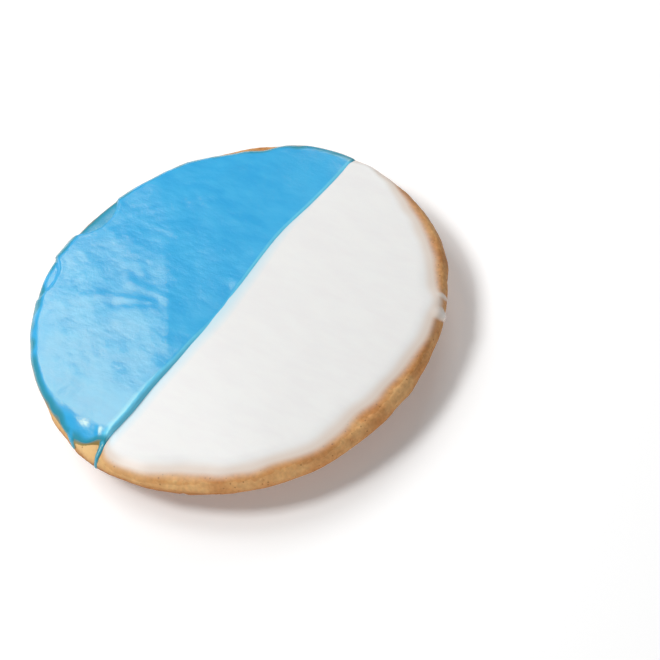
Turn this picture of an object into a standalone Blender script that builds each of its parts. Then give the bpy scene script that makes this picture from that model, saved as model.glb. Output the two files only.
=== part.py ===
"""Half-and-half iced cookie: a soft domed base lying on its baked side, its flat face up.

The flat face carries two icings side by side, blue on -X and white on +X, that meet along Y.
Metres, +Z up. The origin is under the middle of the cookie, on the surface it rests on.
"""
import math

import bmesh
import bpy
from mathutils import Vector

MM = 0.001

# Profile of the base: from the middle of the iced face, over its lip, down the side and in to the foot
FACE_LENGTH = 49.2 * MM
FACE_EDGE_SLOPE = math.radians(2.8)  # the iced face is very slightly crowned
LIP_RADIUS = 1.2 * MM
FLARE_SLOPE = math.radians(62)
FLARE_LENGTH = 0.8 * MM  # the side leans out a little below the lip
SIDE_RADIUS = 2.4 * MM
DOME_SLOPE = math.radians(25)  # slope of the baked dome where it leaves the side
DOME_RADIUS = 73 * MM
AROUND = 84

# The outline is round to within a millimetre: waves of (number around, height, angle of a crest), and dents
# of (angle in degrees, half-width in degrees, depth)
OUTLINE_WAVES = (
    (1, 0.45 * MM, 0), (2, 0.27 * MM, 104), (3, 0.25 * MM, 67), (4, 0.13 * MM, 21), (5, 0.14 * MM, 54),
)
OUTLINE_DENTS = (
    (48, 14, -0.4 * MM), (130, 7, 0.5 * MM), (144, 5, -0.3 * MM), (158, 8, 0.3 * MM), (222, 6, 0.2 * MM),
    (244, 24, 0.5 * MM), (290, 20, 0.7 * MM),
)
LIP_WAVES = ((2, 0.15 * MM, 310), (5, 0.12 * MM, 20), (9, 0.08 * MM, 75))  # the lip rises and dips
LIP_FALLS = ((258, 9, 0.9 * MM),)  # where it hangs, as (angle, half-width, depth)
LIP_SHARE_MOST = 1.2  # a fall grows no further outside this share of the waves' growth
WAVES_FROM = 25 * MM  # inside this radius the base stays truly round

# The line where the icings meet: it leans a little, bends once to each side and has small dents
LINE_OFFSET = -0.35 * MM
LINE_LEAN = 0.012
LINE_BEND = 0.67 * MM
LINE_PERIOD = 55.6 * MM
LINE_PEAK = -9.4 * MM  # where it bends furthest to +X
LINE_DENTS = (  # (distance along it, half-width, shift to +X)
    (18 * MM, 32 * MM, 0.5 * MM), (21 * MM, 9 * MM, -0.55 * MM), (-4 * MM, 5 * MM, 0.25 * MM),
    (-15 * MM, 4 * MM, -0.25 * MM), (-36 * MM, 6 * MM, 0.45 * MM), (-48 * MM, 6 * MM, -0.9 * MM),
)
LINE_FOLLOW = 8 * MM  # how far from the line an icing's own grid still follows its bends
HALF_GAP = 0.16 * MM

# Icings
CLEARANCE = 0.3 * MM  # between an icing and the base under it
BLUE_THICKNESS = 1.5 * MM
WHITE_THICKNESS = 0.75 * MM
EDGE_ROUND = 1.8 * MM  # distance over which an icing rises from its edge to its full thickness
EDGE_SHARE = 0.3  # of the full thickness, at the very edge
INNER_ROWS = (0.22, 0.43, 0.62, 0.78, 0.9, 0.97)  # shares of the way from the middle to the rim zone
RIM_ZONE = 45.5 * MM
RIM_ROWS = 7
WIDEST_COLUMN = 4.2  # degrees
EDGE_STEP = 0.8 * MM  # the edge moves in or out by no more than this between two columns

# How far each icing reaches along the surface from the middle, and where its edge departs from that,
# as (angle in degrees, half-width in degrees, how much further)
BLUE_REACH = 50.2 * MM
BLUE_EDGE = (
    (97, 8, 0.4 * MM), (119, 7, -2.0 * MM), (129, 7, -0.8 * MM), (145, 14, -0.7 * MM), (171, 7, -0.6 * MM),
    (197, 7, 1.3 * MM), (222, 14, 1.0 * MM), (250, 7, 0.1 * MM), (259, 1.5, 2.2 * MM),
    (268.3, 4.2, -3.4 * MM), (269.6, 0.8, 6.0 * MM),
)
WHITE_REACH = 48.8 * MM
WHITE_EDGE = (
    (84, 14, 1.8 * MM), (52, 14, -0.5 * MM), (27, 4, 1.5 * MM), (18, 7, 0.9 * MM),
    (23.3, 1.8, 1.7 * MM), (29.4, 0.9, 1.2 * MM),
    (-4, 10, -0.9 * MM), (-15, 5, -0.9 * MM), (-30, 6, 0.4 * MM), (-40, 6, -0.5 * MM),
    (-64, 6, -0.5 * MM), (-81, 8, 0.7 * MM),
)


def base_profile():
    """Corners of half the base's section as (radius, height, slope), from the iced face to the foot.

    The section is a chain of arcs that join without a kink. Slope is how far it has turned down.
    """
    arcs = (
        (FACE_LENGTH, FACE_EDGE_SLOPE, 7),
        (LIP_RADIUS * (FLARE_SLOPE - FACE_EDGE_SLOPE), FLARE_SLOPE, 3),
        (FLARE_LENGTH, FLARE_SLOPE, 1),
        (SIDE_RADIUS * (math.pi - DOME_SLOPE - FLARE_SLOPE), math.pi - DOME_SLOPE, 5),
        (DOME_RADIUS * DOME_SLOPE, math.pi, 6),
    )
    radius, height, slope = 0.0, 0.0, 0.0
    corners = [(radius, height, slope)]
    for length, end_slope, steps in arcs:
        turn = (end_slope - slope) / steps
        for _ in range(steps):
            radius += length / steps * math.cos(slope + turn / 2)
            height -= length / steps * math.sin(slope + turn / 2)
            slope += turn
            corners.append((radius, height, slope))
    return [(r, z - height, a) for r, z, a in corners]


PROFILE = base_profile()


def bells(angle, bumps):
    """Sum at this angle of bell-shaped bumps, each (angle in degrees, half-width in degrees, height)."""
    total = 0.0
    for at, width, height in bumps:
        away = (math.degrees(angle) - at + 180) % 360 - 180
        total += height * math.exp(-((away / width) ** 2))
    return total


def waved(radius, height, angle):
    """The point of the uneven base that stands at this radius and height on the plain round one."""
    share = max(0.0, (radius - WAVES_FROM) / (FACE_LENGTH - WAVES_FROM)) ** 2
    out, up = (
        sum(h * math.cos(n * (angle - math.radians(crest))) for n, h, crest in waves)
        for waves in (OUTLINE_WAVES, LIP_WAVES)
    )
    out -= bells(angle, OUTLINE_DENTS)
    up -= bells(angle, LIP_FALLS) * min(share, LIP_SHARE_MOST) ** 2
    out *= share
    up *= share * height / PROFILE[0][1]
    return Vector(((radius + out) * math.cos(angle), (radius + out) * math.sin(angle), height + up))


def on_base(x, y, lift):
    """The point whose way along the base's surface from the face's middle is (x, y), raised by lift."""
    way, angle = math.hypot(x, y), math.atan2(y, x)
    for (r0, z0, a0), (r1, z1, a1) in zip(PROFILE, PROFILE[1:]):
        length = math.hypot(r1 - r0, z1 - z0)
        if way <= length:
            break
        way -= length
    share = way / length
    slope = a0 + (a1 - a0) * share
    radius = r0 + (r1 - r0) * share + lift * math.sin(slope)
    height = z0 + (z1 - z0) * share + lift * math.cos(slope)
    return waved(radius, height, angle)


def line_x(y):
    """Where the line between the icings lies at this distance along it."""
    bend = LINE_BEND * math.cos(2 * math.pi * (y - LINE_PEAK) / LINE_PERIOD)
    dents = sum(shift * math.exp(-(((y - at) / width) ** 2)) for at, width, shift in LINE_DENTS)
    return LINE_OFFSET + LINE_LEAN * y + bend + dents


def food_material(name, colour, roughness, specular):
    """A non-metallic material."""
    material = bpy.data.materials.new(name)
    material.use_nodes = True
    shader = material.node_tree.nodes["Principled BSDF"]
    shader.inputs["Base Color"].default_value = (*colour, 1.0)
    shader.inputs["Roughness"].default_value = roughness
    shader.inputs["Metallic"].default_value = 0.0
    shader.inputs["Specular IOR Level"].default_value = specular
    return material


def new_object(name, builder, material):
    """A smooth-shaded object from a bmesh, linked to the scene."""
    mesh = bpy.data.meshes.new(name)
    builder.to_mesh(mesh)
    builder.free()
    mesh.shade_smooth()
    mesh.materials.append(material)
    thing = bpy.data.objects.new(name, mesh)
    bpy.context.scene.collection.objects.link(thing)
    return thing


def build_base(material):
    """The baked base: its section spun round Z, then made as uneven as a hand-dropped cookie."""
    builder = bmesh.new()
    corners = [builder.verts.new((r, 0.0, z)) for r, z, _ in PROFILE]
    corners.append(builder.verts.new((0.0, 0.0, 0.0)))
    edges = [builder.edges.new(pair) for pair in zip(corners, corners[1:])]
    bmesh.ops.spin(
        builder, geom=corners + edges, cent=(0, 0, 0), axis=(0, 0, 1),
        dvec=(0, 0, 0), angle=2 * math.pi, steps=AROUND, use_merge=True,
    )
    bmesh.ops.remove_doubles(builder, verts=builder.verts, dist=0.001 * MM)
    for vert in builder.verts:
        vert.co = waved(math.hypot(vert.co.x, vert.co.y), vert.co.z, math.atan2(vert.co.y, vert.co.x))
    bmesh.ops.recalc_face_normals(builder, faces=builder.faces)
    return new_object("cookie_base", builder, material)


def reach_at(degrees, plain, edge):
    """How far an icing reaches at this angle, along the base's surface from the middle."""
    return plain + sum(more * math.exp(-(((degrees - at) / width) ** 2)) for at, width, more in edge)


def column_angles(start, end, plain, edge):
    """Angles in degrees for an icing's columns: closest where its edge moves in or out fastest."""
    angles = [start]
    while angles[-1] < end:
        step = WIDEST_COLUMN
        here = reach_at(angles[-1], plain, edge)
        while step > 0.1 and any(
            abs(reach_at(angles[-1] + step * part, plain, edge) - here) > EDGE_STEP
            for part in (0.25, 0.5, 0.75, 1.0)
        ):
            step *= 0.8
        angles.append(angles[-1] + step)
    angles[-1] = end
    return angles


def build_icing(name, material, side, plain, edge, thickness):
    """One icing: a sheet laid over the base, thickened outwards by Solidify, least at its rounded edges.

    side is -1 for the half on -X and 1 for the half on +X. The sheet's columns fan out from the middle
    of the line between the icings, and the grid is bent near that line to follow it.
    """
    pole = Vector((side * HALF_GAP, 0.0))
    quarter = 90 - math.degrees(math.asin(HALF_GAP / plain))
    middle_angle = 0 if side > 0 else 180
    flats = [[pole]]
    for degrees in column_angles(middle_angle - quarter, middle_angle + quarter, plain, edge):
        reach = reach_at(degrees, plain, edge)
        angle = math.radians(degrees)
        direction = Vector((math.cos(angle), math.sin(angle)))
        zone = direction * RIM_ZONE
        outer = direction * reach
        column = [pole.lerp(zone, share) for share in INNER_ROWS]
        column += [zone.lerp(outer, (row + 1) / RIM_ROWS) for row in range(RIM_ROWS)]
        flats.append(column)
    for column in flats:
        for flat in column:
            flat.x = side * max(side * flat.x, HALF_GAP)
            flat.x += line_x(flat.y) * math.exp((HALF_GAP - side * flat.x) / LINE_FOLLOW)

    builder = bmesh.new()
    grid = [[builder.verts.new(on_base(f.x, f.y, CLEARANCE)) for f in column] for column in flats]
    (middle,), columns = grid[0], grid[1:]
    for left, right in zip(columns, columns[1:]):
        builder.faces.new((middle, left[0], right[0]))
        for row in range(len(left) - 1):
            builder.faces.new((left[row], left[row + 1], right[row + 1], right[row]))
    builder.verts.index_update()
    border = [pole] + flats[1] + flats[-1] + [column[-1] for column in flats[2:-1]]
    weights = []
    for column, verts in zip(flats, grid):
        for flat, vert in zip(column, verts):
            away = min(1.0, min((flat - point).length for point in border) / EDGE_ROUND)
            rise = math.sqrt(1 - (1 - away) ** 2)
            weights.append((vert.index, EDGE_SHARE + (1 - EDGE_SHARE) * rise))
    icing = new_object(name, builder, material)
    spread = icing.vertex_groups.new(name="spread")
    for index, weight in weights:
        spread.add([index], weight, "REPLACE")
    solidify = icing.modifiers.new("thickness", "SOLIDIFY")
    solidify.thickness = thickness
    solidify.offset = 1.0
    solidify.vertex_group = spread.name
    solidify.use_rim = True
    return icing


def main():
    for thing in list(bpy.data.objects):
        bpy.data.objects.remove(thing)
    build_base(food_material("baked_crust", (0.54, 0.29, 0.12), 0.75, 0.3))
    blue = food_material("blue_icing", (0.07, 0.42, 0.78), 0.3, 0.5)
    build_icing("blue_icing", blue, -1, BLUE_REACH, BLUE_EDGE, BLUE_THICKNESS)
    white = food_material("white_icing", (0.85, 0.83, 0.80), 0.4, 0.5)
    build_icing("white_icing", white, 1, WHITE_REACH, WHITE_EDGE, WHITE_THICKNESS)


main()
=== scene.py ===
"""Looks of the half-and-half iced cookie: its baked crust, its two set glazes, the lights and the camera.

Every shape is a surface worked out on a grid of two parameters: the way along the cookie's section, from
the middle of its iced face over the rim and under to the foot, and the angle round it.
"""

import logging
import math
from dataclasses import dataclass
from enum import Enum
from typing import Any, Callable

import bpy
import numpy as np
from mathutils import Matrix, Vector

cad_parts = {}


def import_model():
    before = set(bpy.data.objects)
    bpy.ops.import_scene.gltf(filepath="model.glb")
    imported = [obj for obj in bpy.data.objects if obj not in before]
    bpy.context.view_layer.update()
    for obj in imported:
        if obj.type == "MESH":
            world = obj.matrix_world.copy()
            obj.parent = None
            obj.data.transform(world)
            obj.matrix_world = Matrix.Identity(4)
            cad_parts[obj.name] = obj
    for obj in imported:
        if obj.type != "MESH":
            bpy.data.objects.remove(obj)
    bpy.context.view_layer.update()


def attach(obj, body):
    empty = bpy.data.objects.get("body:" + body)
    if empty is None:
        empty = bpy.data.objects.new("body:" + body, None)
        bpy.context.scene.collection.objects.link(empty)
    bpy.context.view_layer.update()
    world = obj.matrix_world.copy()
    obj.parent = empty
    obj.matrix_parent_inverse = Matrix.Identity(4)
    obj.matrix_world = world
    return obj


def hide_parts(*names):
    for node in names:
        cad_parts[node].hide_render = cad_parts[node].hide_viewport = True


LOG = logging.getLogger("iced_cookie")
MM = 0.001
Array = np.ndarray
Triples = tuple[tuple[float, float, float], ...]


class Half(Enum):
    """The side of the dividing line an icing lies on, as the sign of its X."""

    BLUE = -1
    WHITE = 1


def linear(hex_code: str) -> tuple[float, float, float, float]:
    """Turns an sRGB hex colour into a linear one.

    Args:
        hex_code: The colour as "#RRGGBB".

    Returns:
        Its red, green, blue and alpha, linear, alpha 1.
    """
    parts = [int(hex_code[i:i + 2], 16) / 255 for i in (1, 3, 5)]
    red, green, blue = (p / 12.92 if p <= 0.04045 else ((p + 0.055) / 1.055) ** 2.4 for p in parts)
    return red, green, blue, 1.0


def node(tree: bpy.types.NodeTree, kind: str, inputs: dict[Any, Any] | None = None, **settings: Any) -> Any:
    """Adds a shader node, with its settings and its links.

    Args:
        tree: The material's or world's node tree.
        kind: The node's type name.
        inputs: Values or output sockets, by the input's name or number.
        **settings: Properties of the node; stops gives a colour ramp as (place, colour) pairs.

    Returns:
        The new node.
    """
    made = tree.nodes.new(kind)
    stops = settings.pop("stops", ())
    for name, value in settings.items():
        setattr(made, name, value)
    for place in range(len(stops) - 2):
        made.color_ramp.elements.new(place / len(stops))
    for element, (place, colour) in zip(made.color_ramp.elements if stops else (), stops):
        element.position = place
        element.color = colour
    for name, value in (inputs or {}).items():
        if isinstance(value, bpy.types.NodeSocket):
            tree.links.new(value, made.inputs[name])
        else:
            made.inputs[name].default_value = value
    return made


def waves(points: Array, size: float, seed: int, count: int = 28) -> Array:
    """A soft uneven field: the sum of plane waves of about one length in random directions.

    Each wave is cos(k . p + phase), with |k| spread evenly from 0.6 to 1.5 times 2 pi / size, and the sum
    is divided by the square root of half the count, so that it mostly stays within -2 and 2.

    Args:
        points: Places, as (..., 2) or (..., 3), in the same unit as size.
        size: Typical length of a wave.
        seed: Which field.
        count: How many waves.

    Returns:
        The field's value at each place.
    """
    draw = np.random.default_rng(seed)
    direction = draw.normal(size=(count, points.shape[-1]))
    direction /= np.linalg.norm(direction, axis=1, keepdims=True)
    k = direction * (2 * np.pi / size * draw.uniform(0.6, 1.5, (count, 1)))
    phase = draw.uniform(0, 2 * np.pi, count)
    total = np.zeros(points.shape[:-1])
    for row, shift in zip(k, phase):
        total += np.cos(points @ row + shift)
    return total / math.sqrt(count / 2)


def smooth(value: Array, low: float, high: float) -> Array:
    """Rises from 0 at low to 1 at high as 3 s^2 - 2 s^3, where s is the share of the way."""
    share = np.clip((value - low) / (high - low), 0, 1)
    return share * share * (3 - 2 * share)


def rounded(value: Array, width: float | Array) -> Array:
    """Rises from 0 to 1 over width as a quarter circle does, and falls steadily below 0."""
    share = np.clip(value / width, 0, 1)
    return np.where(value < 0, value / width, np.sqrt(1 - (1 - share) ** 2))


def bells(degrees: Array, bumps: Triples) -> Array:
    """Sum of bell curves round the cookie, each height * exp(-(angle off it / half-width)^2).

    Args:
        degrees: Angles from +X, in degrees.
        bumps: Each one's angle and half-width in degrees, and its height.

    Returns:
        The sum at each angle.
    """
    total = np.zeros(degrees.shape)
    for at, width, height in bumps:
        off = np.mod(degrees - at + 180, 360) - 180
        total += height * np.exp(-(off / width) ** 2)
    return total


def rounds(angle: Array, crests: Triples) -> Array:
    """Sum of cosines round the cookie, each height * cos(count * (angle - crest)), its crest in degrees."""
    return sum(height * np.cos(count * (angle - math.radians(crest))) for count, height, crest in crests)


def merged(first: Array, second: Array, blend: float) -> Array:
    """The larger of two heights, with a fillet where they cross.

    The formula is the smooth maximum: the larger one plus h^2 / (4 blend), where h is how far the two are
    from being a whole blend apart.

    Args:
        first: Heights.
        second: Heights.
        blend: How wide the fillet is, in the heights' unit.

    Returns:
        The merged heights.
    """
    near = np.maximum(blend - np.abs(first - second), 0) / blend
    return np.maximum(first, second) + near * near * blend / 4


@dataclass(frozen=True)
class Stroke:
    """A run, ridge or lump of icing along a few points of the flattened cookie, in millimetres."""

    points: tuple[tuple[float, float], ...]
    widths: tuple[float, ...]
    heights: tuple[float, ...]

    def raise_at(self, flat: Array) -> Array:
        """Height of a round bead, height * (1 - (distance / width)^2), below 0 outside the stroke."""
        return self.across(flat, lambda share: 1 - share ** 2)

    def swell_at(self, flat: Array) -> Array:
        """Height of a soft swelling, height * exp(-(distance / width)^2)."""
        return self.across(flat, lambda share: np.exp(-share ** 2))

    def across(self, flat: Array, section: Callable[[Array], Array]) -> Array:
        """Height of the stroke, with width and height running evenly from point to point.

        Args:
            flat: Places as (..., 2), in millimetres.
            section: The share of the height at each distance over the width.

        Returns:
            The greatest height over the stroke's legs, in millimetres.
        """
        best = np.full(flat.shape[:-1], -np.inf)
        for i in range(len(self.points) - 1):
            start, end = np.array(self.points[i]), np.array(self.points[i + 1])
            along = end - start
            share = np.clip((flat - start) @ along / (along @ along), 0, 1)
            away = np.linalg.norm(flat - start - share[..., None] * along, axis=-1)
            width = self.widths[i] + (self.widths[i + 1] - self.widths[i]) * share
            height = self.heights[i] + (self.heights[i + 1] - self.heights[i]) * share
            best = np.maximum(best, height * section(away / width))
        return best


@dataclass(frozen=True)
class CookieForm:
    """The plain form of the cookie, the same as the solids': sizes in metres, angles in degrees."""

    face_length: float = 49.2 * MM
    face_edge_slope: float = 2.8
    lip_radius: float = 1.2 * MM
    flare_slope: float = 62.0
    flare_length: float = 0.8 * MM
    side_radius: float = 2.4 * MM
    dome_slope: float = 25.0
    dome_radius: float = 73 * MM
    outline_waves: Triples = (
        (1, 0.45 * MM, 0), (2, 0.27 * MM, 104), (3, 0.25 * MM, 67), (4, 0.13 * MM, 21), (5, 0.14 * MM, 54))
    outline_dents: Triples = (
        (48, 14, -0.4 * MM), (130, 7, 0.5 * MM), (144, 5, -0.3 * MM), (158, 8, 0.3 * MM), (222, 6, 0.2 * MM),
        (244, 24, 0.5 * MM), (290, 20, 0.7 * MM))
    lip_waves: Triples = ((2, 0.15 * MM, 310), (5, 0.12 * MM, 20), (9, 0.08 * MM, 75))
    lip_falls: Triples = ((258, 9, 0.9 * MM),)
    lip_share_most: float = 1.2
    waves_from: float = 25 * MM
    line_offset: float = -0.35  # millimetres, as the line's other sizes
    line_lean: float = 0.012
    line_bend: float = 0.67
    line_period: float = 55.6
    line_peak: float = -9.4
    steps: int = 6000
    line_dents: Triples = (
        (18, 32, 0.5), (21, 9, -0.55), (-4, 5, 0.25), (-15, 4, -0.25), (-36, 6, 0.45), (-48, 6, -0.9))

    def knots(self) -> tuple[Array, Array]:
        """Ends of the section's arcs.

        Returns:
            The way along the section, in metres, and the slope there, in radians, at each end.
        """
        slope = np.radians([0, self.face_edge_slope, self.flare_slope, self.flare_slope,
                            180 - self.dome_slope, 180])
        length = [self.face_length, self.lip_radius * (slope[2] - slope[1]), self.flare_length,
                  self.side_radius * (slope[4] - slope[3]), self.dome_radius * (slope[5] - slope[4])]
        return np.concatenate([[0], np.cumsum(length)]), slope

    def section(self, way: Array) -> tuple[Array, Array, Array]:
        """The plain round section.

        The slope changes evenly along each arc; the radius is the running sum of its cosine and the height
        falls by the running sum of its sine. Past the last arc the foot runs flat to the middle.

        Args:
            way: Distances along the section from the middle of the iced face, in metres.

        Returns:
            The radius, the height above the foot, and the slope in radians.
        """
        ends, slopes = self.knots()
        fine = np.linspace(0, ends[-1], self.steps)
        slope = np.interp(fine, ends, slopes)
        step = fine[1] - fine[0]
        middle = (slope[1:] + slope[:-1]) / 2
        radius = np.concatenate([[0], np.cumsum(np.cos(middle) * step)])
        height = np.concatenate([[0], -np.cumsum(np.sin(middle) * step)])
        height -= height[-1]
        past = np.maximum(way - ends[-1], 0)
        return (np.interp(way, fine, radius) - past, np.interp(way, fine, height),
                np.interp(way, fine, slope))

    def place(self, way: Array, angle: Array, lift: Array | float = 0.0) -> Array:
        """Points on, above or below the uneven base.

        The section's point is moved by lift along its normal, which leans out by its slope, then out and up
        by waves and bells round the cookie that fade in from waves_from.

        Args:
            way: Distances along the section, in metres.
            angle: Angles round the cookie, in radians.
            lift: Heights above the base's surface, in metres.

        Returns:
            The points as (..., 3), in metres.
        """
        radius, height, slope = self.section(way)
        top = self.section(np.zeros(1))[1][0]
        radius = radius + lift * np.sin(slope)
        height = height + lift * np.cos(slope)
        share = np.clip((radius - self.waves_from) / (self.face_length - self.waves_from), 0, None) ** 2
        degrees = np.degrees(angle)
        out = rounds(angle, self.outline_waves) - bells(degrees, self.outline_dents)
        fall = bells(degrees, self.lip_falls) * np.minimum(share, self.lip_share_most) ** 2
        up = rounds(angle, self.lip_waves) - fall
        radius = radius + share * out
        height = height + share * up * height / top
        return np.stack([radius * np.cos(angle), radius * np.sin(angle), height], axis=-1)

    def line_x(self, y: Array) -> Array:
        """The dividing line: an offset and a slight lean, plus a slow cosine bend and bell-shaped dents.

        Args:
            y: Places along the line, in millimetres.

        Returns:
            The line's X there, in millimetres.
        """
        bend = self.line_bend * np.cos(2 * np.pi * (y - self.line_peak) / self.line_period)
        dents = sum(shift * np.exp(-((y - at) / width) ** 2) for at, width, shift in self.line_dents)
        return self.line_offset + self.line_lean * y + bend + dents


def new_piece(name: str, points: Array, faces: Array, attributes: dict[str, Array]) -> bpy.types.Object:
    """Puts points and quads into a smooth-shaded object.

    Args:
        name: The object's name.
        points: Corner places as (N, 3), in metres.
        faces: Corner numbers as (M, 4), anticlockwise from outside; a triangle repeats its last corner.
        attributes: A number for each point, by name.

    Returns:
        The object, linked to the scene.
    """
    is_triangle = faces[:, 3] == faces[:, 2]
    counts = np.where(is_triangle, 3, 4).astype(np.int32)
    keep = np.ones(faces.shape, dtype=bool)
    keep[:, 3] = ~is_triangle
    corners = faces[keep].astype(np.int32)
    mesh = bpy.data.meshes.new(name)
    mesh.vertices.add(len(points))
    mesh.vertices.foreach_set("co", points.astype(np.float32).ravel())
    mesh.loops.add(len(corners))
    mesh.loops.foreach_set("vertex_index", corners)
    mesh.polygons.add(len(faces))
    mesh.polygons.foreach_set("loop_start", np.concatenate([[0], np.cumsum(counts)[:-1]]).astype(np.int32))
    mesh.update(calc_edges=True)
    for key, values in attributes.items():
        layer = mesh.attributes.new(key, "FLOAT", "POINT")
        layer.data.foreach_set("value", values.astype(np.float32).ravel())
    mesh.shade_smooth()
    mesh.validate()
    thing = bpy.data.objects.new(name, mesh)
    bpy.context.scene.collection.objects.link(thing)
    return thing


def grid_quads(rows: int, columns: int, closed: bool) -> Array:
    """Corner numbers of a grid's quads.

    Args:
        rows: Grid rows.
        columns: Grid columns.
        closed: Whether the last column joins the first.

    Returns:
        The quads as (M, 4), in the order row by row.
    """
    last = columns if closed else columns - 1
    row, column = np.meshgrid(np.arange(rows - 1), np.arange(last), indexing="ij")
    following = (column + 1) % columns
    quads = [row * columns + column, (row + 1) * columns + column,
             (row + 1) * columns + following, row * columns + following]
    return np.stack(quads, axis=-1).reshape(-1, 4)


@dataclass(frozen=True)
class BakedCrust:
    """Soft sponge-like dough, drop-baked: a matte golden crumb with small dark pores; painted light makes it
    paler at the lip and painted shade darker round the rim, at set angles.
    """

    golden: str = "#CE975F"
    pale: str = "#DAAB73"
    brown: str = "#C0844D"
    # colour of the darker underside, also used for the painted shade round the rim
    underside_and_painted_shade: str = "#A66C38"
    # crest is the lip colour that the painted light at the lip turns toward
    crest: str = "#F0CC8E"
    pore: str = "#7C4A22"
    roughness: float = 0.72
    mottle_size: float = 6.0  # millimetres
    crumb_size: float = 0.9
    pore_size: float = 1.6
    browns_at: tuple[float, float, float] = (0.34, 0.5, 0.66)  # places of the browns on the mottle
    grain_range: tuple[float, float] = (0.86, 1.1)
    pore_edge: tuple[float, float] = (0.16, 0.1)
    pore_share: float = 0.55
    low_zone: tuple[float, float] = (11.5 * MM, 3.0 * MM)  # heights between which it turns brown
    low_share: float = 0.9
    painted_shading: Triples = ((-76, 30, 0.7), (-5, 26, 0.3))  # angle and half-width in degrees, share of painted shade
    painted_shade_top: tuple[float, float] = (8.0, 10.0)  # millimetres over which that ends
    painted_light_and_cream: Triples = ((-100, 16, 0.7), (-74, 12, 0.25), (-40, 12, 0.2))  # the same, share of painted light, which also stands for the cream film there
    painted_light_and_cream_foot: tuple[float, float] = (8.0, 11.0)  # millimetres over which that begins
    crumb_relief: float = 0.2 * MM
    sheen: float = 0.3

    def painted_shading_of(self, points: Array) -> Array:
        """Painted shade round the rim and painted light at the lip, beyond the darkening by height, as sums
        of bell curves round the rim.

        Args:
            points: Points of a piece, one a row, in metres.

        Returns:
            Shares from -1, most painted light, to 1, most painted shade.
        """
        turn = np.degrees(np.arctan2(points[:, 1], points[:, 0]))
        height = points[:, 2] / MM
        brown = bells(turn, self.painted_shading) * (1 - smooth(height, *self.painted_shade_top))
        return brown - bells(turn, self.painted_light_and_cream) * smooth(height, *self.painted_light_and_cream_foot)

    def colour(self, tree: bpy.types.NodeTree) -> bpy.types.NodeSocket:
        """Adds the crust's colour: three browns mottled together, darker below and in pores, with painted
        shade round the rim and painted light at the lip.

        Args:
            tree: The material's node tree.

        Returns:
            The colour output.
        """
        place = node(tree, "ShaderNodeTexCoord").outputs["Object"]
        mottle = node(tree, "ShaderNodeTexNoise", {
            "Vector": place, "Scale": 1000 / self.mottle_size, "Detail": 4.0, "Roughness": 0.6})
        colours = (linear(self.brown), linear(self.golden), linear(self.pale))
        browns = node(tree, "ShaderNodeValToRGB", {"Fac": mottle.outputs["Fac"]},
                      stops=tuple(zip(self.browns_at, colours)))
        crumb = node(tree, "ShaderNodeTexNoise", {
            "Vector": place, "Scale": 1000 / self.crumb_size, "Detail": 2.0, "Roughness": 0.5})
        grain = node(tree, "ShaderNodeMapRange", {
            "Value": crumb.outputs["Fac"], "From Min": 0.3, "From Max": 0.7,
            "To Min": self.grain_range[0], "To Max": self.grain_range[1]})
        grained = node(tree, "ShaderNodeVectorMath", {0: browns.outputs["Color"], "Scale": grain.outputs[0]},
                       operation="SCALE")
        height = node(tree, "ShaderNodeSeparateXYZ", {"Vector": place})
        low = node(tree, "ShaderNodeMapRange", {
            "Value": height.outputs["Z"], "From Min": self.low_zone[0], "From Max": self.low_zone[1],
            "To Min": 0.0, "To Max": self.low_share})
        # painted shade round the rim; below 0 where painted light is put at the lip
        painted_shading_value = node(tree, "ShaderNodeAttribute", attribute_name="painted_shading").outputs["Fac"]
        share = node(tree, "ShaderNodeMath", {0: low.outputs[0], 1: painted_shading_value}, operation="ADD", use_clamp=True)
        painted_light_and_cream_share = node(tree, "ShaderNodeMapRange", {"Value": painted_shading_value, "From Min": 0.0, "From Max": -1.0})
        # paler toward the crest colour where painted light, partly cream film, is put at the lip
        light = node(tree, "ShaderNodeMix", {
            "Factor": painted_light_and_cream_share.outputs[0], 6: grained.outputs[0], 7: linear(self.crest)}, data_type="RGBA")
        # darker below, plus the painted shade round the rim
        darker_below_and_painted_shade = node(tree, "ShaderNodeMix", {
            "Factor": share.outputs[0], 6: light.outputs[2], 7: linear(self.underside_and_painted_shade)}, data_type="RGBA")
        cells = node(tree, "ShaderNodeTexVoronoi", {"Vector": place, "Scale": 1000 / self.pore_size})
        inside = node(tree, "ShaderNodeMapRange", {
            "Value": cells.outputs["Distance"], "From Min": self.pore_edge[0],
            "From Max": self.pore_edge[1], "To Min": 0.0, "To Max": self.pore_share})
        return node(tree, "ShaderNodeMix", {
            "Factor": inside.outputs[0], 6: darker_below_and_painted_shade.outputs[2], 7: linear(self.pore)},
            data_type="RGBA").outputs[2]

    def material(self) -> bpy.types.Material:
        """Makes the crust's material, with fine crumb as bump.

        Returns:
            The material.
        """
        made = bpy.data.materials.new("baked_crust")
        made.use_nodes = True
        tree = made.node_tree
        place = node(tree, "ShaderNodeTexCoord").outputs["Object"]
        crumb = node(tree, "ShaderNodeTexNoise", {
            "Vector": place, "Scale": 1000 / self.crumb_size, "Detail": 3.0, "Roughness": 0.65})
        relief = node(tree, "ShaderNodeBump", {
            "Strength": 0.5, "Distance": self.crumb_relief, "Height": crumb.outputs["Fac"]})
        shader = tree.nodes["Principled BSDF"]
        tree.links.new(self.colour(tree), shader.inputs["Base Color"])
        tree.links.new(relief.outputs["Normal"], shader.inputs["Normal"])
        shader.inputs["Roughness"].default_value = self.roughness
        shader.inputs["IOR"].default_value = 1.45
        shader.inputs["Specular IOR Level"].default_value = self.sheen
        return made


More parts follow.
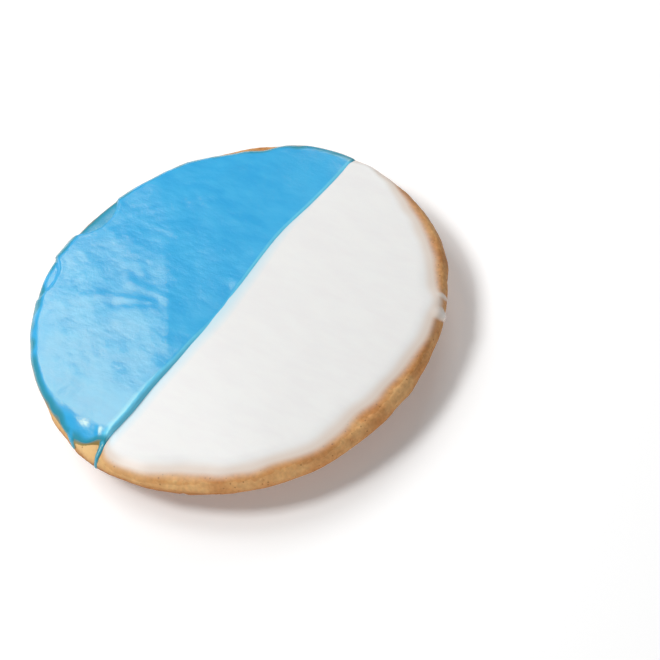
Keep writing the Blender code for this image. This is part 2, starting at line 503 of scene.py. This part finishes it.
@dataclass(frozen=True)
class SugarGlaze:
    """Poured icing-sugar glaze, set: a soft gloss, see-through where it thins out over the crust."""

    name: str
    full: str
    deep: str
    thin: str
    film: str
    # colour along the dividing line: on the blue, painted light that lifts the bead's shaded flank; on the
    # white, a faint blue tint
    seam_tint_and_painted_light: str
    seam_share: float
    seam_width: float  # millimetres
    stops: tuple[float, float, float]  # thickness in millimetres of bare crust, thin and full colour
    grain: float
    specular: float = 0.65
    sheen_tint: tuple[float, float, float] = (1.0, 1.0, 1.0)
    roughness: float = 0.21
    soaked_roughness: float = 0.45  # where the film is so thin that the crust has drunk it
    pit_size: float = 0.7  # millimetres, drawn coarser than the real crystals so that it shows
    drag_size: float = 9.0
    drag_turn: float = -40.0  # degrees
    drag_stretch: float = 3.2
    drag_stops: tuple[float, float] = (0.36, 0.62)  # places of deep and full on the streaks
    drag_relief: float = 2.5  # times the pits'
    dulling: tuple[float, float] = (-0.03, 0.05)  # change of roughness along the streaks
    relief: float = 0.12 * MM
    scatter: float = 0.12
    scatter_size: float = 0.8 * MM

    def material(self, crust: BakedCrust) -> bpy.types.Material:
        """Makes the glaze: crust colour through the film at its edge, then thin colour, then full.

        Args:
            crust: The crust seen through the film.

        Returns:
            The material.
        """
        made = bpy.data.materials.new(self.name)
        made.use_nodes = True
        tree = made.node_tree
        shader = tree.nodes["Principled BSDF"]
        place = node(tree, "ShaderNodeTexCoord").outputs["Object"]
        depth = node(tree, "ShaderNodeAttribute", attribute_name="thickness").outputs["Fac"]
        seam_tint_and_painted_light = node(tree, "ShaderNodeAttribute", attribute_name="seam_tint_and_painted_light").outputs["Fac"]
        drag = node(tree, "ShaderNodeMapping", {
            "Vector": place, "Rotation": (0, 0, math.radians(self.drag_turn)),
            "Scale": (1.0, self.drag_stretch, 1.0)})
        streaks = node(tree, "ShaderNodeTexNoise", {
            "Vector": drag.outputs[0], "Scale": 1000 / self.drag_size, "Detail": 5.0, "Roughness": 0.62})
        body = node(tree, "ShaderNodeValToRGB", {"Fac": streaks.outputs["Fac"]}, stops=(
            (self.drag_stops[0], linear(self.deep)), (self.drag_stops[1], linear(self.full))))
        # toward the seam colour near the line: painted light on the blue, a faint tint on the white
        seam_tint_and_painted_light_mix = node(tree, "ShaderNodeMix", {
            "Factor": node(tree, "ShaderNodeMapRange", {
                "Value": seam_tint_and_painted_light, "From Min": self.seam_width, "From Max": 0.2, "To Min": 0.0,
                "To Max": self.seam_share}).outputs[0],
            6: body.outputs["Color"], 7: linear(self.seam_tint_and_painted_light)}, data_type="RGBA")
        bare, film, full = self.stops
        thick = node(tree, "ShaderNodeMapRange", {
            "Value": depth, "From Min": film, "From Max": full}, interpolation_type="SMOOTHSTEP")
        paste = node(tree, "ShaderNodeMix", {
            "Factor": thick.outputs[0], 6: linear(self.thin), 7: seam_tint_and_painted_light_mix.outputs[2]}, data_type="RGBA")
        through = node(tree, "ShaderNodeMix", {
            "Factor": 1.0, 6: crust.colour(tree), 7: linear(self.film)}, data_type="RGBA",
            blend_type="MULTIPLY")
        covered = node(tree, "ShaderNodeMapRange", {
            "Value": depth, "From Min": bare, "From Max": film}, interpolation_type="SMOOTHSTEP")
        skin = node(tree, "ShaderNodeMix", {
            "Factor": covered.outputs[0], 6: through.outputs[2], 7: paste.outputs[2]}, data_type="RGBA")
        tree.links.new(skin.outputs[2], shader.inputs["Base Color"])
        pits = node(tree, "ShaderNodeTexNoise", {
            "Vector": place, "Scale": 1000 / self.pit_size, "Detail": 3.0, "Roughness": 0.7})
        both = node(tree, "ShaderNodeMath", {
            0: streaks.outputs["Fac"], 1: self.drag_relief, 2: pits.outputs["Fac"]}, operation="MULTIPLY_ADD")
        relief = node(tree, "ShaderNodeBump", {
            "Strength": self.grain, "Distance": self.relief, "Height": both.outputs[0]})
        tree.links.new(relief.outputs["Normal"], shader.inputs["Normal"])
        dull = node(tree, "ShaderNodeMapRange", {
            "Value": streaks.outputs["Fac"], "From Min": 0.3, "From Max": 0.7,
            "To Min": self.roughness + self.dulling[0], "To Max": self.roughness + self.dulling[1]})
        soaked = node(tree, "ShaderNodeMapRange", {
            "Value": covered.outputs[0], "To Min": self.soaked_roughness, "To Max": dull.outputs[0]})
        tree.links.new(soaked.outputs[0], shader.inputs["Roughness"])
        shader.inputs["IOR"].default_value = 1.5
        shader.inputs["Specular IOR Level"].default_value = self.specular
        shader.inputs["Specular Tint"].default_value = (*self.sheen_tint, 1.0)
        shader.inputs["Subsurface Weight"].default_value = self.scatter
        shader.inputs["Subsurface Radius"].default_value = (1.2, 1.0, 0.9)
        shader.inputs["Subsurface Scale"].default_value = self.scatter_size
        return made


@dataclass
class CookieBase:
    """The baked base under the icings, with its crumb, wrinkled side and pores."""

    form: CookieForm
    finish: BakedCrust
    around: int = 620
    face_rows: int = 18
    rim_rows: int = 96
    dome_rows: int = 34
    foot_rows: int = 6
    rim_from: float = 42 * MM
    rim_to: float = 60 * MM
    crumbs: Triples = ((0.018, 2.6, 11), (0.012, 1.1, 12))  # height and size in millimetres, seed
    wrinkle: tuple[float, float, int] = (0.04, 1.5, 13)  # the same
    wrinkle_round: float = 9.0
    wrinkle_down: float = 0.75
    wrinkle_zone: tuple[float, float, float, float] = (49, 51, 55, 60)  # ways of its start and end
    swell: tuple[float, float, int] = (0.07, 12.0, 14)
    swell_zone: tuple[float, float] = (49, 53)
    bare_zone: tuple[float, float] = (44, 49)
    foot_zone: tuple[float, float] = (76, 82)
    pores: int = 90
    pore_seed: int = 5
    pore_zone: tuple[float, float] = (46.5, 58.0)
    pore_sizes: tuple[float, float] = (0.25, 0.6)
    pore_depth: float = 0.7  # times the size

    def relief(self, way: Array, angle: Array) -> Array:
        """How far the crust stands off the plain form.

        Crumb is a soft uneven field in space, wrinkles are one whose waves are long round the side and short
        down it, and each pore is a bell-shaped pit. All fade in from where the icing ends.

        Args:
            way: Distances along the section, in millimetres.
            angle: Angles round the cookie, in radians.

        Returns:
            Heights in millimetres.
        """
        flat = np.stack([way * np.cos(angle), way * np.sin(angle)], axis=-1)
        crumb = sum(height * waves(flat, size, seed) for height, size, seed in self.crumbs)
        side = np.stack([np.cos(angle) * self.wrinkle_round, np.sin(angle) * self.wrinkle_round,
                         way * self.wrinkle_down], axis=-1)
        height, size, seed = self.wrinkle
        wrinkles = height * waves(side, size, seed)
        wrinkles = wrinkles * smooth(way, *self.wrinkle_zone[:2]) * (1 - smooth(way, *self.wrinkle_zone[2:]))
        height, size, seed = self.swell
        swell = height * waves(flat, size, seed) * smooth(way, *self.swell_zone)
        draw = np.random.default_rng(self.pore_seed)
        pore_way = draw.uniform(*self.pore_zone, self.pores)
        pore_angle = draw.uniform(-math.pi, math.pi, self.pores)
        pore_size = draw.uniform(*self.pore_sizes, self.pores)
        pits = np.zeros(way.shape)
        for at, turn, size in zip(pore_way, pore_angle, pore_size):
            across = (np.mod(angle - turn + np.pi, 2 * np.pi) - np.pi) * at
            pits += size * self.pore_depth * np.exp(-((way - at) ** 2 + across ** 2) / size ** 2)
        shown = smooth(way, *self.bare_zone) * (1 - smooth(way, *self.foot_zone))
        return (crumb + wrinkles + swell - pits) * shown

    def build(self) -> bpy.types.Object:
        """Builds the closed base on a grid of way and angle, its rows closest over the rim.

        Returns:
            The dressed piece.
        """
        end = self.form.knots()[0][-1]
        foot = self.form.section(np.array([end]))[0][0]
        ways = np.concatenate([
            np.linspace(0, self.rim_from, self.face_rows + 1)[1:-1],
            np.linspace(self.rim_from, self.rim_to, self.rim_rows),
            np.linspace(self.rim_to, end, self.dome_rows)[1:],
            end + np.linspace(0, foot, self.foot_rows)[1:-1]])
        angles = np.linspace(0, 2 * np.pi, self.around, endpoint=False)
        way, angle = np.meshgrid(ways, angles, indexing="ij")
        points = self.form.place(way, angle, self.relief(way / MM, angle) * MM)
        points[..., 2] = np.maximum(points[..., 2], 0)
        rows = len(ways)
        top = self.form.place(np.zeros(1), np.zeros(1))
        corners = np.concatenate([points.reshape(-1, 3), top, np.zeros((1, 3))])
        first = np.arange(self.around)
        following = (first + 1) % self.around
        last = (rows - 1) * self.around
        pole, under = rows * self.around, rows * self.around + 1
        cap = np.stack([np.full_like(first, pole), first, following, following], axis=-1)
        floor = np.stack([np.full_like(first, under), last + following, last + first, last + first], axis=-1)
        faces = np.concatenate([grid_quads(rows, self.around, True), cap, floor])
        piece = new_piece("crust", corners, faces, {"painted_shading": self.finish.painted_shading_of(corners)})
        piece.data.materials.append(self.finish.material())
        return piece


@dataclass
class Icing:
    """One half's icing: a closed shell whose upper face stands off the base by the icing's thickness."""

    half: Half
    form: CookieForm
    finish: SugarGlaze
    crust: BakedCrust
    thickness: float  # millimetres, as every size below
    reach: float
    edge: Triples  # (angle in degrees, half-width in degrees, further reach)
    rim_rise: float
    rim_rises: Triples  # (angle, half-width, wider rise)
    rim_slack: Triples  # (angle, half-width, share that slopes away softly)
    line_start: float
    strokes: tuple[Stroke, ...]
    ripple: float
    seed: int
    line_rise: float = 0.8
    blend: float = 0.3
    clearing: float = 1.0  # how fast the colour's thickness may grow with the way in from the rim
    clearings: Triples = ()  # (angle, half-width, faster by)
    clearing_waves: tuple[float, float] = (0.25, 6.0)  # share and size
    clearing_limits: tuple[float, float] = (0.5, 1.6)
    clearing_growth: float = 0.02  # times the cube of the way in
    stroke_colour: float = 1.5  # how thick a stroke's colour looks, times its height
    seam_fade: tuple[float, float] = (5.0, 60.0)  # Y over which the colour at the line, painted light on the blue, fades or narrows
    seam_far: tuple[float, float] = (1.0, 4.0)  # times and plus for the distance past that
    seam_least: float = -9.0  # least distance counted, which caps the colour's share
    edge_waves: tuple[float, float] = (0.1, 9.0)  # height and size
    ripple_sizes: tuple[float, float] = (13.0, 4.0)
    ripple_fine: float = 0.2
    outer: float = 59.0
    rows: int = 112
    columns: int = 424
    follow: float = 8.0
    kept_above: float = -0.04
    lowest: float = -0.2
    buried: float = 0.25

    def flat_grid(self) -> Array:
        """Places on the flattened cookie: straight from the dividing line's points to the outer arc's.

        A row's share of the way goes from the line, where Y is b * outer, to the arc, at b quarter turns
        from X, for b from -1 to 1. Near the line the grid is bent to follow it.

        Returns:
            The places as (rows, columns, 2), in millimetres.
        """
        side = self.half.value
        across, along = np.meshgrid(
            np.linspace(0, 1, self.rows), np.linspace(-1, 1, self.columns) * side, indexing="ij")
        turn = along * math.pi / 2
        start = side * self.line_start
        x = (1 - across) * start + across * side * self.outer * np.cos(turn)
        y = (1 - across) * self.outer * along + across * self.outer * np.sin(turn)
        x = x + self.form.line_x(y) * np.exp(-np.maximum(side * x - self.line_start, 0) / self.follow)
        return np.stack([x, y], axis=-1)

    def seam_distance(self, flat: Array) -> Array:
        """How far each place lies on this icing's own side of the dividing line, in millimetres."""
        x, y = flat[..., 0], flat[..., 1]
        return self.half.value * (x - self.form.line_x(y))

    def around(self, flat: Array, bumps: Triples) -> Array:
        """Sum of bell-shaped bumps round the rim, at the angle of each place."""
        return bells(np.degrees(np.arctan2(flat[..., 1], flat[..., 0])), bumps)

    def line_share(self, flat: Array) -> Array:
        """Share of the full thickness that the dividing line allows: it rises as a quarter circle."""
        return rounded(self.seam_distance(flat) - self.line_start, self.line_rise)

    def depth(self, flat: Array) -> tuple[Array, Array]:
        """Thickness of the icing, below 0 where there is none, and the thickness its colour shows.

        The sheet rises from its rim and from the dividing line as quarter circles do, or as a soft slope
        where the rim is slack, and is multiplied by a soft ripple. Runs, ridges and lumps are merged with
        it by a smooth maximum. The colour's thickness grows no faster than by a set share of the way from
        the rim, uneven round it, because light leaves through the flank there.

        Args:
            flat: Places as (..., 2), in millimetres.

        Returns:
            Millimetres of icing, and millimetres for its colour.
        """
        wobble, size = self.edge_waves
        uneven = wobble * waves(flat, size, self.seed)
        inside = self.reach + self.around(flat, self.edge) + uneven - np.linalg.norm(flat, axis=-1)
        width = self.rim_rise + self.around(flat, self.rim_rises)
        slack = np.clip(self.around(flat, self.rim_slack), 0, 1)
        slope = np.where(inside < 0, inside / width, smooth(inside / width, 0, 1))
        from_rim = (1 - slack) * rounded(inside, width) + slack * slope
        from_line = self.line_share(flat)
        lowest = np.minimum(from_rim, from_line)
        sheet = np.where(lowest < 0, lowest, from_rim * from_line) * self.thickness
        coarse, fine = self.ripple_sizes
        swell = waves(flat, coarse, self.seed + 1) + self.ripple_fine * waves(flat, fine, self.seed + 3)
        sheet = sheet * (1 + self.ripple * swell)
        share, size = self.clearing_waves
        clearing = self.clearing + self.around(flat, self.clearings)
        clearing = clearing * np.clip(1 + share * waves(flat, size, self.seed + 2), *self.clearing_limits)
        shown = np.minimum(sheet, inside * clearing + self.clearing_growth * np.maximum(inside, 0) ** 3)
        for stroke in self.strokes:
            bead = stroke.raise_at(flat)
            sheet = merged(sheet, bead, self.blend)
            shown = np.maximum(shown, self.stroke_colour * bead)
        sheet = self.details(flat, sheet)
        return sheet, np.minimum(shown, sheet)

    def details(self, flat: Array, sheet: Array) -> Array:
        """Changes that only one icing has. The plain icing has none."""
        return sheet

    def colour_distance(self, flat: Array) -> Array:
        """Distance that the colour at the dividing line goes by; on the blue this colour is painted light on
        the bead's shaded flank.

        It is the true distance at the -Y end. Over seam_fade it turns into that times and plus the two
        numbers of seam_far, so that the colour fades out or narrows.

        Args:
            flat: Places as (..., 2), in millimetres.

        Returns:
            Millimetres, the colour strongest where they are least.
        """
        away = self.seam_distance(flat)
        faded = smooth(flat[..., 1], *self.seam_fade)
        far = away * self.seam_far[0] + self.seam_far[1]
        return np.maximum(away * (1 - faded) + far * faded, self.seam_least)

    def build(self) -> bpy.types.Object:
        """Builds the shell: the grid's cells that hold icing, lifted above, buried below, and walled.

        Returns:
            The dressed piece.
        """
        flat = self.flat_grid()
        depth, shown = self.depth(flat)
        cells = grid_quads(self.rows, self.columns, False)
        cells = cells[depth.ravel()[cells].max(axis=1) > self.kept_above]
        used, cells = np.unique(cells, return_inverse=True)
        cells = cells.reshape(-1, 4)
        flat, shown = flat.reshape(-1, 2)[used], shown.ravel()[used]
        depth = np.maximum(depth.ravel()[used], self.lowest)
        way, angle = np.linalg.norm(flat, axis=-1) * MM, np.arctan2(flat[:, 1], flat[:, 0])
        above = self.form.place(way, angle, depth * MM)
        below = self.form.place(way, angle, np.full(depth.shape, -self.buried * MM))
        pairs = np.stack([cells, np.roll(cells, -1, axis=1)], axis=-1).reshape(-1, 2)
        edges, counts = np.unique(np.sort(pairs, axis=1), axis=0, return_counts=True)
        count = len(used)
        keys = edges[:, 0] * count + edges[:, 1]
        own = np.sort(pairs, axis=1)
        border = pairs[counts[np.searchsorted(keys, own[:, 0] * count + own[:, 1])] == 1]
        walls = np.stack([border[:, 1], border[:, 0], border[:, 0] + count, border[:, 1] + count], axis=-1)
        faces = np.concatenate([cells, cells[:, ::-1] + count, walls])
        seam_tint_and_painted_light = self.colour_distance(flat)
        points = np.concatenate([above, below])
        piece = new_piece(self.finish.name, points, faces, {
            "thickness": np.concatenate([shown, shown]), "seam_tint_and_painted_light": np.concatenate([seam_tint_and_painted_light, seam_tint_and_painted_light]),
            "painted_shading": self.crust.painted_shading_of(points)})
        piece.data.materials.append(self.finish.material(self.crust))
        return piece


@dataclass
class BlueIcing(Icing):
    """The blue half, with lens-shaped slumps over the rim on the -X side."""

    slumps: tuple[tuple[float, float, float, float], ...] = (
        (173.0, 51.9, 8.1, 0.72), (198.0, 54.6, 8.6, 0.5))  # angle, way of centre, radius, share let down
    slump_lip: float = 0.06
    slump_lip_width: float = 0.45
    slump_slope: float = 0.8
    crease: Triples = (
        (-32, 9, -0.026), (-24, 6, 0.0), (-18, 4.4, 0.07), (-8, 12.8, 0.07), (-3, 18, 0.05),
        (5, 24, 0.035), (30, 26, 0.032))  # Y, the crease's distance from the line, the plane's slope
    crease_most: float = 20.0
    bead_start: float = 0.5  # widths past the line
    bead_rise: float = 1.5  # widths
    bead_widths: tuple[float, float] = (0.65, 1.0)
    bead_zone: tuple[float, float] = (-44.0, -18.0)  # Y over which the bead widens from one to the other
    marks: tuple[Stroke, ...] = ()

    def line_share(self, flat: Array) -> Array:
        """Share of the full thickness near the dividing line.

        A bead rises as a quarter circle from half its width past the line, where the other icing hides it.
        Behind it a plane slopes up to a crease, or at the -Y end a little down; the crease's points give
        its distance from the line and the plane's slope at each Y.

        Args:
            flat: Places as (..., 2), in millimetres.

        Returns:
            The share, below 0 past the line.
        """
        y = flat[..., 1]
        away = self.seam_distance(flat)
        narrow, wide = self.bead_widths
        bead = narrow + (wide - narrow) * smooth(y, *self.bead_zone)
        at, behind, slope = np.array(self.crease).T
        before = np.clip(np.interp(y, at, behind) - away, 0, self.crease_most)
        plane = 1 - np.interp(y, at, slope) * before / self.thickness
        return rounded(away / bead + self.bead_start, self.bead_rise) * plane

    def details(self, flat: Array, sheet: Array) -> Array:
        """Lets the icing down inside each slump's circle, behind a small lip, and adds the spatula's marks.

        Args:
            flat: Places as (..., 2), in millimetres.
            sheet: The icing's thickness there, in millimetres.

        Returns:
            The changed thickness.
        """
        for degrees, way, radius, share in self.slumps:
            turn = math.radians(degrees)
            centre = np.array([way * math.cos(turn), way * math.sin(turn)])
            inside = radius - np.linalg.norm(flat - centre, axis=-1)
            lip = self.slump_lip * np.exp(-(inside / self.slump_lip_width + 1) ** 2)
            sheet = np.where(sheet > 0, sheet + lip * np.clip(sheet, 0, 1), sheet)
            sheet = sheet * (1 - share * smooth(inside, 0, self.slump_slope))
        for mark in self.marks:
            sheet = sheet + mark.swell_at(flat)
        return sheet


@dataclass(frozen=True)
class Lamp:
    """A soft rectangular lamp that looks at the cookie."""

    name: str
    power: float  # watts
    width: float  # metres
    height: float
    azimuth: float  # degrees from +X
    elevation: float
    distance: float = 1.0

    def build(self) -> None:
        """Hangs the lamp at its distance, turned to the middle of the foot."""
        azimuth, elevation = math.radians(self.azimuth), math.radians(self.elevation)
        toward = Vector((math.cos(azimuth) * math.cos(elevation), math.sin(azimuth) * math.cos(elevation),
                         math.sin(elevation)))
        light = bpy.data.lights.new(self.name, "AREA")
        light.shape = "RECTANGLE"
        light.size, light.size_y = self.width, self.height
        light.energy = self.power
        lamp = bpy.data.objects.new(self.name, light)
        lamp.location = toward * self.distance
        lamp.rotation_euler = toward.to_track_quat("Z", "Y").to_euler()
        bpy.context.scene.collection.objects.link(lamp)


@dataclass(frozen=True)
class Studio:
    """A pale floor, a large soft box, three smaller lamps and even white light from all round."""

    lamps: tuple[Lamp, ...] = (
        Lamp("soft_box", 3.85, 0.45, 0.47, 171.4, 49.5), Lamp("key", 5.3, 0.285, 0.285, 217.0, 59.0),
        Lamp("fill", 3.5, 0.9, 0.45, 319.0, 9.0), Lamp("top", 2.0, 0.4, 0.4, 112.0, 33.0))
    surround: float = 0.14
    floor_size: float = 3.0
    floor_drop: float = 0.05 * MM
    floor_colour: str = "#F7F7F7"
    floor_roughness: float = 0.9
    floor_sheen: float = 0.1
    floor_glow: float = 0.15

    def floor(self) -> bpy.types.Object:
        """Lays the floor just under the foot.

        Returns:
            The floor.
        """
        half, level = self.floor_size / 2, -self.floor_drop
        points = np.array([
            (-half, -half, level), (half, -half, level), (half, half, level), (-half, half, level)])
        piece = new_piece("floor", points, np.array([[0, 1, 2, 3]]), {})
        made = bpy.data.materials.new("matte_paper")
        made.use_nodes = True
        shader = made.node_tree.nodes["Principled BSDF"]
        shader.inputs["Base Color"].default_value = linear(self.floor_colour)
        shader.inputs["Roughness"].default_value = self.floor_roughness
        shader.inputs["Specular IOR Level"].default_value = self.floor_sheen
        shader.inputs["Emission Color"].default_value = (1, 1, 1, 1)
        shader.inputs["Emission Strength"].default_value = self.floor_glow
        piece.data.materials.append(made)
        return piece

    def build(self) -> None:
        """Sets up the floor, the lamps and the surround."""
        self.floor()
        for lamp in self.lamps:
            lamp.build()
        world = bpy.data.worlds.new("surround")
        world.use_nodes = True
        background = world.node_tree.nodes["Background"]
        background.inputs["Color"].default_value = (1, 1, 1, 1)
        background.inputs["Strength"].default_value = self.surround
        scene = bpy.context.scene
        scene.world = world
        scene.view_settings.view_transform = "Standard"
        scene.view_settings.look = "None"


@dataclass(frozen=True)
class Viewpoint:
    """The camera: a 100 mm lens on a 36 mm wide square frame."""

    azimuth: float = 50.1
    elevation: float = 50.817
    roll: float = -18.555
    distance: float = 0.42206
    target: tuple[float, float, float] = (0.02597, 0.00439, 0.0115)
    lens: float = 100.0

    def build(self) -> bpy.types.Object:
        """Places the camera on the far end of its line of sight and rolls it.

        Returns:
            The camera, made the scene's own.
        """
        azimuth, elevation, roll = (math.radians(a) for a in (self.azimuth, self.elevation, self.roll))
        back = Vector((math.sin(azimuth) * math.cos(elevation), -math.cos(azimuth) * math.cos(elevation),
                       math.sin(elevation)))
        right = Vector((math.cos(azimuth), math.sin(azimuth), 0))
        up = back.cross(right)
        across = math.cos(roll) * right + math.sin(roll) * up
        upward = math.cos(roll) * up - math.sin(roll) * right
        data = bpy.data.cameras.new("camera")
        data.lens = self.lens
        data.sensor_width = 36.0
        data.clip_start = 0.01
        camera = bpy.data.objects.new("camera", data)
        turn = Matrix((across, upward, back)).transposed().to_4x4()
        camera.matrix_world = Matrix.Translation(Vector(self.target) + back * self.distance) @ turn
        bpy.context.scene.collection.objects.link(camera)
        bpy.context.scene.camera = camera
        return camera


def show(piece: bpy.types.Object, solid: str) -> None:
    """Puts a finished piece in the place of its solid and reports it.

    Args:
        piece: The piece.
        solid: The CAD node it stands for.
    """
    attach(piece, "root")
    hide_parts(solid)
    LOG.info("%s: %d faces", piece.name, len(piece.data.polygons))


def main() -> None:
    """Builds the cookie, its studio and its camera, in that order."""
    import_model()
    form = CookieForm()
    crust = BakedCrust()
    # Dyed glaze: clear blue where it lies thick, teal at its edge, where the crust shows through, and a paler
    # cyan along the dividing line, painted light that lifts the shade on the bead's flank.
    blue_glaze = SugarGlaze(
        name="blue_glaze", full="#3CB3E8", deep="#33AAE3", thin="#2F93AC", film="#A9B4A6",
        seam_tint_and_painted_light="#84E6FF", seam_share=0.9, seam_width=2.2, stops=(0.02, 0.22, 0.85), grain=0.28,
        sheen_tint=(1.0, 0.82, 0.26))
    # Undyed glaze: bone white, cream where it thins out, faintly blue where it met the other.
    white_glaze = SugarGlaze(
        name="white_glaze", full="#EDEDEB", deep="#EBEAE9", thin="#E2D5CA", film="#F8EEE6",
        seam_tint_and_painted_light="#BFE3EF", seam_share=0.75, seam_width=3.0, stops=(0.0, 0.4, 0.9), grain=0.02,
        specular=0.15)
    base = CookieBase(form, crust)
    blue = BlueIcing(
        Half.BLUE, form, blue_glaze, crust, thickness=1.9, reach=50.2,
        edge=((97, 8, 0.4), (119, 7, -2.0), (129, 7, -0.8), (145, 14, -0.7), (171, 7, -0.6), (197, 7, 1.3),
              (222, 14, 1.0), (250, 7, 0.1), (267, 5, -3.6)),
        rim_rise=2.4, rim_rises=((258, 11, 4.4), (212, 20, 0.9), (150, 34, 0.5)),
        rim_slack=((258, 12, 0.5), (216, 20, 0.6), (150, 34, 0.3)), line_start=-1.34, ripple=0.022, seed=40,
        blend=0.5, clearing=0.19, clearings=((258, 9, 0.12), (98, 9, 0.08)),
        seam_fade=(-34.0, -16.0), seam_far=(3.4, -1.3), seam_least=0.85,
        strokes=(
            Stroke(((-12.1, -46.8), (-11.3, -48.6), (-10.7, -50.2)), (1.6, 1.2, 0.9), (0.45, 0.4, 0.3)),
            Stroke(((-2.5, -46.4), (-2.1, -47.8), (-1.6, -50.0), (-1.9, -51.6), (-2.4, -53.0)),
                   (0.9, 0.8, 0.65, 0.6, 0.5), (0.4, 0.42, 0.4, 0.35, 0.3))),
        marks=(
            Stroke(((-11.3, -40.5), (-11.1, -43.0), (-11.1, -45.2), (-11.4, -47.6)), (2.6, 3.0, 3.0, 1.8),
                   (0.0, 0.14, 0.38, 0.3)),
            Stroke(((-5.4, -43.4), (-4.6, -45.2), (-3.8, -46.6)), (0.6, 0.6, 0.6), (0.06, 0.14, 0.1)),
            Stroke(((-34, -23.0), (-31, -25.0)), (9, 9), (0.2, 0.2)),
            Stroke(((-26, -7.5), (-13.8, -7.2)), (1.1, 1.0), (0.03, 0.05)),
            Stroke(((-33, -16.0), (-27, -13.0), (-20, -11.0), (-16, -9.8)), (1.3, 1.1, 1.0, 0.9),
                   (0.04, 0.06, 0.06, 0.04)),
            Stroke(((-21, -15.0), (-15, -11.5)), (1.4, 1.2), (0.05, 0.05))))
    white = Icing(
        Half.WHITE, form, white_glaze, crust, thickness=0.95, reach=50.4,
        edge=((84, 14, 1.4), (52, 14, -0.5), (27, 4, 1.5), (18, 7, 0.9), (-4, 10, -0.9), (-15, 5, -0.9),
              (-30, 6, 0.4), (-40, 6, -0.5), (-64, 6, -0.5), (-81, 8, 0.7), (-95, 3.5, -4.0)),
        rim_rise=6.2, rim_rises=((84, 14, -2.6), (-20, 12, 1.5), (-66, 10, 1.0)), rim_slack=((0, 400, 1.0),),
        line_start=-1.6, ripple=0.006, seed=70,
        strokes=(
            Stroke(((44.2, 19.2), (46.2, 20.4), (47.2, 20.8)), (2.2, 2.1, 1.6), (0.35, 0.6, 0.7)),
            Stroke(((42.6, 24.0), (44.0, 24.7), (44.9, 25.2)), (1.1, 0.9, 0.8), (0.25, 0.4, 0.35))))
    show(base.build(), "cookie_base")
    show(blue.build(), "blue_icing")
    show(white.build(), "white_icing")
    Studio().build()
    Viewpoint().build()


if __name__ == "__main__":
    logging.basicConfig(level=logging.INFO, format="%(message)s")
    main()
